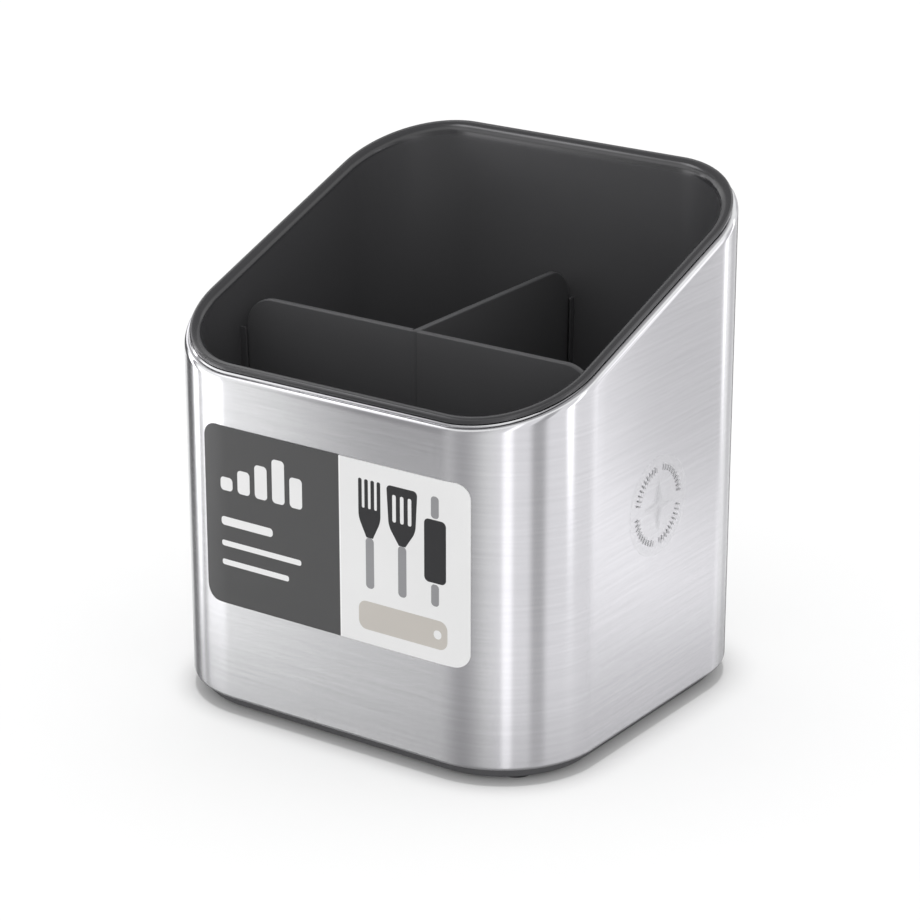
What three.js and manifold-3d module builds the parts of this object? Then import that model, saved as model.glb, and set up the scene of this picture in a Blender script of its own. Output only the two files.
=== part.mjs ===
// Tiered utensil holder: a slant-topped steel sleeve on a plastic base, with a lift-out bucket and dividers.
// Millimetres, +Z up, front towards -Y. The origin is on the table, under the middle of the sleeve.
import * as THREE from 'three';
import { LoftGeometry } from 'three/addons/geometries/LoftGeometry.js';
import { mergeGeometries, mergeVertices } from 'three/addons/utils/BufferGeometryUtils.js';
import Module from 'manifold-3d';

const wasm = await Module();
wasm.setup();

// Outline and slanted cut of the sleeve
const width = 135;
const depth = 125;
const cornerRadius = 30.75;
const frontHeight = 99.6;
const slopeDegrees = 20.14;
const edgeLean = 0.5; // share of the slope that the rolled edge and the rim keep across their width

// Sheet of the sleeve and its rolled edges
const sheet = 0.6;
const topBend = 1.4;
const topFlange = 0.8;
const bottomBend = 1.1;
const bottomFlange = 3.3;

// Base tray with its clips, and the feet
const plinthInset = 3.64;
const plinthHeight = 3.2;
const plinthEdge = 0.6;
const trayWall = 2;
const trayFloor = 2;
const trayRim = 0.5;
const clipReach = 0.9;
const clipHeight = 1.2;
const clipLength = 14;
const clipMargin = 6.75; // from the end of a flat side to the clip's end
const footRadius = 5;
const footHeight = 1.1;
const footEdge = 0.5;
const footSeatDepth = 1;
const footMargin = 0.8;

// Bucket
const bucketWall = 2.2;
const bucketDraft = 2.2; // how far the walls lean in from rim to floor
const bucketFillet = 6;
const rimInset = 1.5;
const rimThickness = 1.55;
const rimOuterEdge = 0.8;
const rimLowerEdge = 0.4;
const rimFillet = 2.5;

// Dividers and the guide ribs that hold them
const dividerSetback = 40.5; // from the front face to the middle of the cross divider
const dividerThickness = 2;
const dividerDrop = 5.5; // from the sleeve's lip down to the dividers' top edges
const dividerCorner = 10;
const slotDepth = 52;
const slotLeadIn = 0.7;
const tongueSetback = 0.8;
const ribDrop = 8.9; // from the dividers' top edges down to the tops of the ribs
const ribThickness = 0.9;
const ribReach = 2;

// Label on the front and sticker on the right side
const labelWidth = 91.7;
const labelHeight = 53.8;
const labelCorner = 4.5;
const labelShift = 0.35;
const labelDrop = 15.3; // from the sleeve's lip down to the label's top edge
const labelThickness = 0.2;
const stickerRadius = 14.8;
const stickerThickness = 0.2;
const stickerRise = 64;

// Clearances
const seatGap = 0.3;
const bucketClearance = 0.25;
const bucketFloorGap = 0.4;
const dividerGap = 1.3;
const guideGap = 0.25;
const footGap = 0.3;
const adhesiveGap = 0.1;

// Facets
const cornerSteps = 12;
const bendSteps = 4;
const filletSteps = 6;
const roundSteps = 32;

// Heights and insets that follow from the sizes above
const slope = Math.tan(THREE.MathUtils.degToRad(slopeDegrees));
const sleeveBottom = footHeight + plinthHeight;
const topLip = topBend + sheet + topFlange;
const bottomLip = bottomBend + sheet + bottomFlange;
const neckInset = bottomLip + seatGap;
const clipBottom = sleeveBottom + sheet + seatGap;
const trayTop = clipBottom + clipHeight + trayRim;
const bucketUnder = trayTop + bucketFloorGap;
const bucketFloor = bucketUnder + bucketWall;
const outerTop = topLip + bucketClearance;
const outerBottom = outerTop + bucketDraft;
const innerTop = outerTop + bucketWall;
const innerBottom = outerBottom + bucketWall;
const rimTop = seatGap + rimThickness;
const rimRound = Math.min(rimOuterEdge, rimThickness - rimLowerEdge);
const rimCrown = Math.min(rimFillet, innerTop - rimInset - rimRound);
const wallFoot = bucketFloor + bucketFillet;
const dividerY = dividerSetback - depth / 2;
const dividerTop = cutHeight(dividerY) - dividerDrop;
const dividerBottom = bucketFloor + seatGap;
const slotBottom = dividerTop - slotDepth;
const ribTop = dividerTop - ribDrop;

// Height of the slanted cut over a point of the outer face.
function cutHeight(outerY) {
  return sleeveBottom + frontHeight + (outerY + depth / 2) * slope;
}

// One ring of points round the plan outline, set in by inset, counterclockwise from the front right corner.
function ring(inset, heightAt) {
  const farX = width / 2 - cornerRadius;
  const farY = depth / 2 - cornerRadius;
  const corners = [[farX, -farY], [farX, farY], [-farX, farY], [-farX, -farY]];
  return corners.flatMap(([x, y], corner) => {
    const points = [];
    for (let step = 0; step <= cornerSteps; step += 1) {
      const angle = (corner - 1 + step / cornerSteps) * Math.PI / 2;
      const across = Math.cos(angle);
      const along = Math.sin(angle);
      const reach = cornerRadius - inset;
      const height = heightAt(y + cornerRadius * along, along);
      points.push(new THREE.Vector3(x + reach * across, y + reach * along, height));
    }
    return points;
  });
}

function levelRing(inset, z) {
  return ring(inset, () => z);
}

// A ring beside the slanted edge, lifted above the top of the sleeve's lip.
function slantRing(inset, lift) {
  return ring(inset, (outerY, along) => cutHeight(outerY) - along * inset * edgeLean * slope + lift);
}

// Angles of a quarter turn, from 0 to a right angle.
function quarter(steps) {
  return Array.from({ length: steps + 1 }, (_, step) => (step / steps) * Math.PI / 2);
}

// Rings of a rounded edge: at angle a, ringAt takes the sine and the cosine.
function bend(steps, ringAt) {
  return quarter(steps).map((a) => ringAt(Math.sin(a), Math.cos(a)));
}

// A cup: a loft from its underside, round its edge and down to a floor that faces up.
function cupGeometry(rings) {
  const walls = new LoftGeometry(rings, { capStart: true });
  const edge = rings.at(-1);
  const outline = new THREE.Shape(edge.map(({ x, y }) => new THREE.Vector2(x, y)));
  const floor = new THREE.ShapeGeometry(outline).translate(0, 0, edge[0].z);
  return mergeGeometries([walls, floor]);
}

// A closed outline through corners [x, y, fillet radius], counterclockwise.
function filletedShape(corners) {
  const shape = new THREE.Shape();
  corners.forEach(([x, y, radius], index) => {
    const corner = new THREE.Vector2(x, y);
    const [beforeX, beforeY] = corners.at(index - 1);
    const [afterX, afterY] = corners[(index + 1) % corners.length];
    const toBefore = new THREE.Vector2(beforeX, beforeY).sub(corner).normalize();
    const toAfter = new THREE.Vector2(afterX, afterY).sub(corner).normalize();
    const opening = Math.acos(toBefore.dot(toAfter));
    const setback = radius / Math.tan(opening / 2);
    const start = corner.clone().addScaledVector(toBefore, setback);
    const end = corner.clone().addScaledVector(toAfter, setback);
    if (index === 0) {
      shape.moveTo(start.x, start.y);
    } else {
      shape.lineTo(start.x, start.y);
    }
    if (radius > 0) {
      const middle = toBefore.clone().add(toAfter).normalize();
      const centre = corner.clone().addScaledVector(middle, radius / Math.sin(opening / 2));
      const from = start.clone().sub(centre).angle();
      const to = end.clone().sub(centre).angle();
      shape.absarc(centre.x, centre.y, radius, from, to, toBefore.cross(toAfter) > 0);
    }
  });
  shape.closePath();
  return shape;
}

// A plate of a front-view outline (x, z), standing across the Y axis.
function plateAcross(shape, thickness) {
  const geometry = new THREE.ExtrudeGeometry(shape, {
    depth: thickness,
    bevelEnabled: false,
    curveSegments: filletSteps,
  });
  return geometry.translate(0, 0, -thickness / 2).rotateX(Math.PI / 2);
}

// A plate of a side-view outline (y, z), standing along the Y axis.
function plateAlong(shape, thickness) {
  const turn = new THREE.Matrix4().makeBasis(
    new THREE.Vector3(0, 1, 0),
    new THREE.Vector3(0, 0, 1),
    new THREE.Vector3(1, 0, 0),
  );
  const geometry = new THREE.ExtrudeGeometry(shape, {
    depth: thickness,
    bevelEnabled: false,
    curveSegments: filletSteps,
  });
  return geometry.translate(0, 0, -thickness / 2).applyMatrix4(turn);
}

function toSolid(geometry) {
  const bare = new THREE.BufferGeometry().copy(geometry);
  bare.deleteAttribute('normal');
  bare.deleteAttribute('uv');
  const merged = mergeVertices(bare);
  return new wasm.Manifold(new wasm.Mesh({
    numProp: 3,
    vertProperties: new Float32Array(merged.attributes.position.array),
    triVerts: new Uint32Array(merged.index.array),
  }));
}

function toGeometry(solid) {
  const mesh = solid.getMesh();
  const geometry = new THREE.BufferGeometry();
  geometry.setAttribute('position', new THREE.BufferAttribute(mesh.vertProperties, 3));
  geometry.setIndex(new THREE.BufferAttribute(mesh.triVerts, 1));
  geometry.computeVertexNormals();
  return geometry;
}

// The sleeve: up the outer face, over the rolled edge, down the inside and out along the lower lip.
function sleeveGeometry() {
  const topRoll = topBend + sheet;
  const bottomRoll = bottomBend + sheet;
  const rings = [
    levelRing(bottomLip, sleeveBottom),
    ...bend(bendSteps, (s, c) => levelRing(bottomRoll * (1 - s), sleeveBottom + bottomRoll * (1 - c))),
    ...bend(bendSteps, (s, c) => slantRing(topRoll * (1 - c), topRoll * (s - 1))),
    slantRing(topLip, 0),
    slantRing(topLip, -sheet),
    ...bend(bendSteps, (s, c) => slantRing(topRoll - topBend * s, topBend * c - topRoll)),
    ...bend(bendSteps, (s, c) => levelRing(
      bottomRoll - bottomBend * c,
      sleeveBottom + bottomRoll - bottomBend * s,
    )),
    levelRing(bottomLip, sleeveBottom + sheet),
  ];
  return new LoftGeometry([...rings, rings[0]]);
}

// One clip: a wedge on the tray's neck that snaps over the sleeve's lower lip.
function clipGeometry(outerFace) {
  const neck = outerFace - neckInset;
  const root = neck - trayWall / 2;
  const wedge = filletedShape([
    [root, clipBottom, 0],
    [neck + clipReach, clipBottom, 0],
    [neck, clipBottom + clipHeight, 0],
    [root, clipBottom + clipHeight, 0],
  ]);
  return plateAcross(wedge, clipLength);
}

function footPlaces() {
  const out = (cornerRadius - plinthInset - plinthEdge - footMargin - footRadius) * Math.SQRT1_2;
  const x = width / 2 - cornerRadius + out;
  const y = depth / 2 - cornerRadius + out;
  return {
    foot_front_left: [-x, -y],
    foot_front_right: [x, -y],
    foot_rear_left: [-x, y],
    foot_rear_right: [x, y],
  };
}

// The tray: a plinth under the sleeve's lip, a neck through it, clips above it and seats for the feet.
function trayGeometry() {
  const shoulder = sleeveBottom - seatGap;
  const rings = [
    ...bend(bendSteps, (s, c) => levelRing(
      plinthInset + plinthEdge * (1 - s),
      footHeight + plinthEdge * (1 - c),
    )),
    levelRing(plinthInset, shoulder),
    levelRing(neckInset, shoulder),
    levelRing(neckInset, trayTop),
    levelRing(neckInset + trayWall, trayTop),
    levelRing(neckInset + trayWall, footHeight + trayFloor),
  ];
  let tray = toSolid(cupGeometry(rings));
  // Two clips on each side, starting at the right and going round counterclockwise.
  [width, depth, width, depth].forEach((across, side) => {
    const along = across === width ? depth : width;
    const place = along / 2 - cornerRadius - clipMargin - clipLength / 2;
    for (const offset of [-place, place]) {
      const clip = clipGeometry(across / 2).translate(0, offset, 0).rotateZ(side * Math.PI / 2);
      tray = tray.add(toSolid(clip));
    }
  });
  const seatRadius = footRadius + footGap;
  for (const [x, y] of Object.values(footPlaces())) {
    const seat = new THREE.CylinderGeometry(seatRadius, seatRadius, 2 * footSeatDepth, roundSteps);
    tray = tray.subtract(toSolid(seat.rotateX(Math.PI / 2).translate(x, y, footHeight)));
  }
  return toGeometry(tray);
}

// A foot: a round pad with a rounded lower edge, standing on the table.
function footGeometry() {
  const top = footHeight + footSeatDepth - footGap;
  const edge = quarter(bendSteps).map((a) => new THREE.Vector2(
    footRadius - footEdge * (1 - Math.sin(a)),
    footEdge * (1 - Math.cos(a)),
  ));
  const underside = new THREE.Vector2(0, 0);
  const upperEdge = new THREE.Vector2(footRadius, top);
  const upperSide = new THREE.Vector2(0, top);
  const profile = [underside, ...edge, upperEdge, upperSide];
  return new THREE.LatheGeometry(profile, roundSteps).rotateX(Math.PI / 2);
}

// Height at which the bucket's inner wall runs into the rim, on a side wall and on the back wall.
const sideWallTop = cutHeight(dividerY) + rimTop - rimCrown;
const backWallTop = cutHeight(depth / 2) - innerTop * edgeLean * slope + rimTop - rimCrown;

// Inset of the bucket's inner wall at a height.
function wallInset(z, wallTop) {
  return THREE.MathUtils.mapLinear(z, wallFoot, wallTop, innerBottom, innerTop);
}

// Outline of a guide rib: from the middle of the wall to its free edge, beside a wall that faces inwards.
function ribShape(outerFace, wallTop) {
  const wallLow = outerFace - wallInset(wallFoot, wallTop);
  const wallHigh = outerFace - wallInset(ribTop, wallTop);
  return filletedShape([
    [wallLow - ribReach, wallFoot, 0],
    [wallLow + bucketWall / 2, wallFoot, 0],
    [wallHigh + bucketWall / 2, ribTop, 0],
    [wallHigh - ribReach, ribTop, ribReach / 2],
  ]);
}

// The bucket: up the outer wall, round the rim and down the inside, with pairs of guide ribs.
function bucketGeometry() {
  const outerFillet = bucketFillet + bucketWall;
  const rings = [
    ...bend(bendSteps, (s, c) => levelRing(
      outerBottom + outerFillet * (1 - s),
      bucketUnder + outerFillet * (1 - c),
    )),
    slantRing(outerTop, seatGap),
    ...bend(bendSteps, (s, c) => slantRing(
      rimInset + rimLowerEdge * (1 - s),
      seatGap + rimLowerEdge * (1 - c),
    )),
    ...bend(bendSteps, (s, c) => slantRing(
      rimInset + rimRound * (1 - c),
      rimTop - rimRound * (1 - s),
    )),
    ...bend(bendSteps, (s, c) => slantRing(
      innerTop - rimCrown * (1 - s),
      rimTop - rimCrown * (1 - c),
    )),
    ...bend(bendSteps, (s, c) => levelRing(
      innerBottom + bucketFillet * (1 - c),
      wallFoot - bucketFillet * s,
    )),
  ];
  let bucket = toSolid(cupGeometry(rings));
  const ribOffset = dividerThickness / 2 + guideGap + ribThickness / 2;
  for (const offset of [-ribOffset, ribOffset]) {
    const right = plateAcross(ribShape(width / 2, sideWallTop), ribThickness);
    bucket = bucket.add(toSolid(right.translate(0, dividerY + offset, 0)));
    const left = plateAcross(ribShape(width / 2, sideWallTop), ribThickness);
    bucket = bucket.add(toSolid(left.rotateZ(Math.PI).translate(0, dividerY + offset, 0)));
    const back = plateAlong(ribShape(depth / 2, backWallTop), ribThickness);
    bucket = bucket.add(toSolid(back.translate(offset, 0, 0)));
  }
  return toGeometry(bucket);
}

// The cross divider: a panel between the side walls, with a slot from its top edge for the other divider.
function crossDividerGeometry() {
  const low = width / 2 - wallInset(dividerBottom, sideWallTop) - dividerGap;
  const high = width / 2 - wallInset(dividerTop, sideWallTop) - dividerGap;
  const slotHalf = dividerThickness / 2 + guideGap;
  return plateAcross(filletedShape([
    [-low, dividerBottom, bucketFillet],
    [low, dividerBottom, bucketFillet],
    [high, dividerTop, dividerCorner],
    [slotHalf, dividerTop, slotLeadIn],
    [slotHalf, slotBottom, 0],
    [-slotHalf, slotBottom, 0],
    [-slotHalf, dividerTop, slotLeadIn],
    [-high, dividerTop, dividerCorner],
  ]), dividerThickness);
}

// The rear divider: a panel to the back wall, whose tongue hangs in the cross divider's slot.
function rearDividerGeometry() {
  const low = depth / 2 - wallInset(dividerBottom, backWallTop) - dividerGap;
  const high = depth / 2 - wallInset(dividerTop, backWallTop) - dividerGap;
  const front = dividerY + dividerThickness / 2 + guideGap;
  const tongueFront = dividerY - dividerThickness / 2 + tongueSetback;
  const tongueBottom = slotBottom + guideGap;
  return plateAlong(filletedShape([
    [front, dividerBottom, 0],
    [low, dividerBottom, bucketFillet],
    [high, dividerTop, dividerCorner],
    [tongueFront, dividerTop, 0],
    [tongueFront, tongueBottom, 0],
    [front, tongueBottom, 0],
  ]), dividerThickness);
}

// The label: a thin skin that follows the front and the start of both corners.
function labelGeometry() {
  const high = sleeveBottom + frontHeight - labelDrop;
  const low = high - labelHeight;
  const back = -adhesiveGap;
  const face = back - labelThickness;
  const rings = [
    levelRing(back, low - labelCorner),
    levelRing(face, low - labelCorner),
    levelRing(face, high + labelCorner),
    levelRing(back, high + labelCorner),
  ];
  const skin = toSolid(new LoftGeometry([...rings, rings[0]]));
  const left = labelShift - labelWidth / 2;
  const right = labelShift + labelWidth / 2;
  const outline = filletedShape([
    [left, low, labelCorner],
    [right, low, labelCorner],
    [right, high, labelCorner],
    [left, high, labelCorner],
  ]);
  const cutter = plateAcross(outline, depth).translate(0, -depth / 2, 0);
  return toGeometry(skin.intersect(toSolid(cutter)));
}

function stickerGeometry() {
  const disc = new THREE.CylinderGeometry(stickerRadius, stickerRadius, stickerThickness, roundSteps);
  return disc.rotateZ(Math.PI / 2);
}

function piece(name, geometry, color, roughness, metalness) {
  const mesh = new THREE.Mesh(geometry, new THREE.MeshStandardMaterial({ color, roughness, metalness }));
  mesh.name = name;
  return mesh;
}

const holder = new THREE.Group();

const shell = new THREE.Group();
shell.add(piece('outer_sleeve', sleeveGeometry(), 0xc6c7c9, 0.32, 1));
shell.add(piece('base_tray', trayGeometry(), 0x39393c, 0.6, 0));
for (const [name, [x, y]] of Object.entries(footPlaces())) {
  const foot = piece(name, footGeometry(), 0x2a2a2b, 0.8, 0);
  foot.position.set(x, y, 0);
  shell.add(foot);
}
shell.add(piece('front_label', labelGeometry(), 0x9b9b9b, 0.5, 0));
const sticker = piece('side_sticker', stickerGeometry(), 0xe2e2e2, 0.4, 0);
sticker.position.set(width / 2 + adhesiveGap + stickerThickness / 2, 0, sleeveBottom + stickerRise);
shell.add(sticker);
holder.add(shell);

const insert = new THREE.Group();
insert.add(piece('inner_bucket', bucketGeometry(), 0x353538, 0.5, 0));
const crossDivider = piece('cross_divider', crossDividerGeometry(), 0x37373a, 0.5, 0);
crossDivider.position.y = dividerY;
insert.add(crossDivider);
insert.add(piece('rear_divider', rearDividerGeometry(), 0x37373a, 0.5, 0));
holder.add(insert);

export default holder;
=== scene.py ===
# Tiered utensil holder: brushed steel sleeve, lift-out bucket, two dividers, base, feet, label, sticker
import math
import bmesh
import bpy
from mathutils import Matrix, Vector


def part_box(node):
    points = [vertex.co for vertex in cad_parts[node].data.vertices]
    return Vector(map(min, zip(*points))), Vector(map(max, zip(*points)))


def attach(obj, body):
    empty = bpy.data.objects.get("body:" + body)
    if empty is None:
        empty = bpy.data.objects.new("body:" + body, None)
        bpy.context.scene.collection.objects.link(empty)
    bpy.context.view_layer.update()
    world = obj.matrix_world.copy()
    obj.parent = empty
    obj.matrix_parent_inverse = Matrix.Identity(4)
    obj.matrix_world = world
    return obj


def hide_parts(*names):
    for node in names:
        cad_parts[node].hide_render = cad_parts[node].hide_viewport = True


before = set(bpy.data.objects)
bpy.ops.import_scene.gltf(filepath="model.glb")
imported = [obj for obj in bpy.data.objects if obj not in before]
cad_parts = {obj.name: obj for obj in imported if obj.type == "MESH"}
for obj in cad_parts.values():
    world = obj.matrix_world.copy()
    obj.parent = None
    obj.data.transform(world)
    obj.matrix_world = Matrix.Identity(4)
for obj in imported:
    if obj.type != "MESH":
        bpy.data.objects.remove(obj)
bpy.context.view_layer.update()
mm = 0.001
hair = 0.001 * mm   # points closer than this are one


# Plan outline and slanted cut, shared by every ring-shaped piece
potShape = {
    "cornerRadius": 30.75,   # plan corners of the sleeve
    "frontHeight": 99.6,     # sleeve's lip above its lower edge, at the front
    "slope": 20.14,          # degrees, the slanted cut
    "edgeLean": 0.5,         # share of the slope kept across the rolled edge and the rim
    "cornerSteps": 32,
    "flatCuts": 15,
}
sleeveLow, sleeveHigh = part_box("outer_sleeve")
halfWidth = sleeveHigh.x
halfDepth = sleeveHigh.y
sleeveBottom = sleeveLow.z
cornerRadius = potShape["cornerRadius"] * mm
farX = halfWidth - cornerRadius
farY = halfDepth - cornerRadius
lipFront = sleeveBottom + potShape["frontHeight"] * mm
slope = math.tan(math.radians(potShape["slope"]))


def clampTo(value, limit):
    return max(-limit, min(limit, value))


def lipHeight(outerY):   # height of the slanted cut over the sleeve's outer face
    return lipFront + (outerY + halfDepth) * slope


def levelAt(z):
    return lambda outerY, outY, inset: z


def slantAt(lift):   # beside the slanted edge, lifted above the sleeve's lip
    lean = potShape["edgeLean"] * slope
    return lambda outerY, outY, inset: lipHeight(outerY) - outY * inset * lean + lift


def betweenAt(low, high, share):
    return lambda *place: low(*place) + (high(*place) - low(*place)) * share


def settle(verts, inset, heightAt):   # sets a ring of points in by inset, at its height
    for vert in verts:
        heart = Vector((clampTo(vert.co.x, farX), clampTo(vert.co.y, farY)))
        out = (vert.co.xy - heart).normalized()
        flat = heart + out * (cornerRadius - inset)
        height = heightAt(heart.y + out.y * cornerRadius, out.y, inset)
        vert.co = (flat.x, flat.y, height)


def firstRing(bm, inset, heightAt):   # a plate with round corners, whose edge is the first ring
    bmesh.ops.create_grid(bm, x_segments=1, y_segments=1, size=1)
    bmesh.ops.scale(bm, vec=(halfWidth, halfDepth, 1), verts=bm.verts)
    bmesh.ops.bevel(bm, geom=bm.verts[:], offset=cornerRadius, segments=potShape["cornerSteps"],
                    profile=0.5, affect='VERTICES', material=-1)
    flats = [edge for edge in bm.edges if edge.calc_length() > cornerRadius]
    bmesh.ops.subdivide_edges(bm, edges=flats, cuts=potShape["flatCuts"])
    settle(bm.verts, inset, heightAt)
    return bm.edges[:]


def vertsOf(geom):
    return [g for g in geom if isinstance(g, bmesh.types.BMVert)]


def edgesOf(geom):
    return [g for g in geom if isinstance(g, bmesh.types.BMEdge)]


def growRing(bm, edges, inset, heightAt):
    grown = bmesh.ops.extrude_edge_only(bm, edges=edges)["geom"]
    settle(vertsOf(grown), inset, heightAt)
    return edgesOf(grown)


def growWall(bm, edges, stations):
    for inset, heightAt in stations:
        edges = growRing(bm, edges, inset, heightAt)
    return edges


def quarterTurn(steps, place):   # stations of a round edge, from the sine and cosine of its angle
    angles = [step / steps * math.pi / 2 for step in range(steps + 1)]
    return [place(math.sin(a), math.cos(a)) for a in angles]


def wallRows(rows, low, high):   # stations up a wall, closer together near its ends
    shares = [(1 - math.cos(math.pi * row / rows)) / 2 for row in range(1, rows)]
    (lowInset, lowAt), (highInset, highAt) = low, high
    return [(lowInset + (highInset - lowInset) * share, betweenAt(lowAt, highAt, share)) for share in shares]


def meshObject(name, bm, material):
    mesh = bpy.data.meshes.new(name)
    bm.to_mesh(mesh)
    bm.free()
    mesh.materials.append(material)
    made = bpy.data.objects.new(name, mesh)
    bpy.context.scene.collection.objects.link(made)
    return made


def makePiece(name, bm, material, body, slotName, *nodes, sharpAngle=35):
    bmesh.ops.remove_doubles(bm, verts=bm.verts, dist=hair)
    bmesh.ops.recalc_face_normals(bm, faces=bm.faces)
    for face in bm.faces:
        face.smooth = True
    piece = meshObject(name, bm, material)
    piece.data.set_sharp_from_angle(angle=math.radians(sharpAngle))
    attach(piece, body)
    if nodes:
        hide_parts(*nodes)
    return piece


# Node helpers
def newMaterial(name):
    material = bpy.data.materials.new(name)
    material.use_nodes = True
    tree = material.node_tree
    return material, tree, tree.nodes["Principled BSDF"]


def setInputs(tree, node, inputs):   # links a socket, and sets anything else as the input's own value
    for key, value in inputs.items():
        if isinstance(value, bpy.types.NodeSocket):
            tree.links.new(value, node.inputs[key])
        else:
            node.inputs[key].default_value = value


def addNode(tree, kind, inputs=None, **settings):
    node = tree.nodes.new(kind)
    for key, value in settings.items():
        setattr(node, key, value)
    setInputs(tree, node, inputs or {})
    return node


def objectCoords(tree):
    return addNode(tree, "ShaderNodeTexCoord").outputs["Object"]


def newGroup(name, inputs, outputs):
    group = bpy.data.node_groups.new(name, "ShaderNodeTree")
    for label, value in inputs.items():
        socket = group.interface.new_socket(name=label, in_out='INPUT', socket_type='NodeSocketFloat')
        socket.default_value = value
    for label in outputs:
        group.interface.new_socket(name=label, in_out='OUTPUT', socket_type='NodeSocketFloat')
    return group, group.nodes.new("NodeGroupInput"), group.nodes.new("NodeGroupOutput")


def mathNode(tree, operation, first, second):
    return addNode(tree, "ShaderNodeMath", {0: first, 1: second}, operation=operation).outputs[0]


def rangeTo(tree, share, low, high):   # spreads a share from 0 to 1 between two values
    inputs = {"Value": share, "To Min": low, "To Max": high}
    return addNode(tree, "ShaderNodeMapRange", inputs).outputs["Result"]


def mixColors(tree, factor, first, second, blend='MIX'):
    inputs = {"Factor": factor, "A": first, "B": second}
    return addNode(tree, "ShaderNodeMix", inputs, data_type='RGBA', blend_type=blend).outputs["Result"]


# Fine moulded grain, for the plastics, the rubber and the films
def makeMouldedGrain():
    group, source, result = newGroup("mouldedGrain", {"Grain size": 0.3}, ["Height", "Tone"])
    coords = objectCoords(group)
    scale = mathNode(group, 'DIVIDE', 1 / mm, source.outputs["Grain size"])
    grain = addNode(group, "ShaderNodeTexNoise", {"Vector": coords, "Scale": scale,
                                                  "Detail": 3.0, "Roughness": 0.6})
    cloud = addNode(group, "ShaderNodeTexNoise", {"Vector": coords, "Scale": 28.0, "Detail": 2.0})
    setInputs(group, result, {"Height": grain.outputs["Fac"], "Tone": cloud.outputs["Fac"]})
    return group


# Faint uneven sheen, as on anything that is handled
def makeSheenMarks():
    inputs = {"Base": 0.4, "Spread": 0.1, "Mark size": 20.0}
    group, source, result = newGroup("sheenMarks", inputs, ["Roughness"])
    coords = objectCoords(group)
    scale = mathNode(group, 'DIVIDE', 1 / mm, source.outputs["Mark size"])
    marks = addNode(group, "ShaderNodeTexNoise", {"Vector": coords, "Scale": scale,
                                                  "Detail": 4.0, "Roughness": 0.55})
    centred = mathNode(group, 'SUBTRACT', marks.outputs["Fac"], 0.5)
    swing = mathNode(group, 'MULTIPLY', centred, source.outputs["Spread"])
    setInputs(group, result, {"Roughness": mathNode(group, 'ADD', source.outputs["Base"], swing)})
    return group


# 0 on the slanted rim, 1 on the walls below it
def makeRimDepth():
    group, source, result = newGroup("rimDepth", {"Start": -0.6, "End": 1.4}, ["Mask"])
    coords = objectCoords(group)
    place = addNode(group, "ShaderNodeSeparateXYZ", {"Vector": coords}).outputs
    climb = mathNode(group, 'MULTIPLY', place["Y"], slope)
    rim = mathNode(group, 'ADD', climb, lipFront + halfDepth * slope)
    below = mathNode(group, 'DIVIDE', mathNode(group, 'SUBTRACT', rim, place["Z"]), mm)
    inputs = {"Value": below, "From Min": source.outputs["Start"], "From Max": source.outputs["End"]}
    mask = addNode(group, "ShaderNodeMapRange", inputs, interpolation_type='SMOOTHSTEP')
    setInputs(group, result, {"Mask": mask.outputs["Result"]})
    return group


mouldedGrain = makeMouldedGrain()
sheenMarks = makeSheenMarks()
rimDepth = makeRimDepth()


def addFinish(tree, shader, color, roughness, look):   # grain, uneven tone and sheen over a colour
    grain = addNode(tree, "ShaderNodeGroup", {"Grain size": look["grainSize"]}, node_tree=mouldedGrain)
    sheen = addNode(tree, "ShaderNodeGroup", {"Base": roughness, "Spread": look["spread"],
                                              "Mark size": look["markSize"]}, node_tree=sheenMarks)
    shade = rangeTo(tree, grain.outputs["Tone"], 1 - look["toneSpread"], 1 + look["toneSpread"])
    bump = addNode(tree, "ShaderNodeBump", {"Strength": look["bump"], "Distance": look["bumpDepth"] * mm,
                                            "Height": grain.outputs["Height"]})
    setInputs(tree, shader, {
        "Base Color": mixColors(tree, 1.0, color, shade, 'MULTIPLY'),
        "Roughness": sheen.outputs["Roughness"],
        "Normal": bump.outputs["Normal"],
        "Specular IOR Level": look["specular"],
    })


mouldedLook = {"markSize": 18.0, "toneSpread": 0.07, "bumpDepth": 0.05}   # what all the plastics share


def makePlastic(name, ownLook):
    look = {**mouldedLook, **ownLook}
    material, tree, shader = newMaterial(name)
    color = (*look["color"], 1)
    roughness = look["roughness"]
    if "paintedRimShade" in look:   # painted shade: the rim is coloured darker than the walls, and it is glossier
        depth = addNode(tree, "ShaderNodeGroup", node_tree=rimDepth).outputs["Mask"]
        # painted shade: the mask turns the walls' colour to the darker rim colour
        color = mixColors(tree, depth, (*look["paintedRimShade"], 1), color)
        roughness = rangeTo(tree, depth, look["rimRoughness"], roughness)
        gloss = rangeTo(tree, depth, look["rimCoat"], 0.0)
        setInputs(tree, shader, {"Coat Weight": gloss, "Coat Roughness": look["rimRoughness"]})
    addFinish(tree, shader, color, roughness, look)
    return material


# Brushed stainless: fine lines round the pot, smeared reflections up and down
steelLook = {
    "pale": (0.796, 0.799, 0.811),
    "dark": (0.732, 0.735, 0.747),
    "roughness": 0.21,
    "lipRoughness": 0.12,          # the rolled edge is smoother
    "lipStart": 1.5,               # depths below the rim where that ends, in mm
    "lipEnd": 3.0,
    "spread": 0.03,
    "markSize": 40.0,
    "anisotropic": 0.92,
    "lineScale": (28, 28, 1000),   # slow along the brushing, fine across it
    "bump": 0.03,
    "bumpDepth": 0.02,
}


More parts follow.
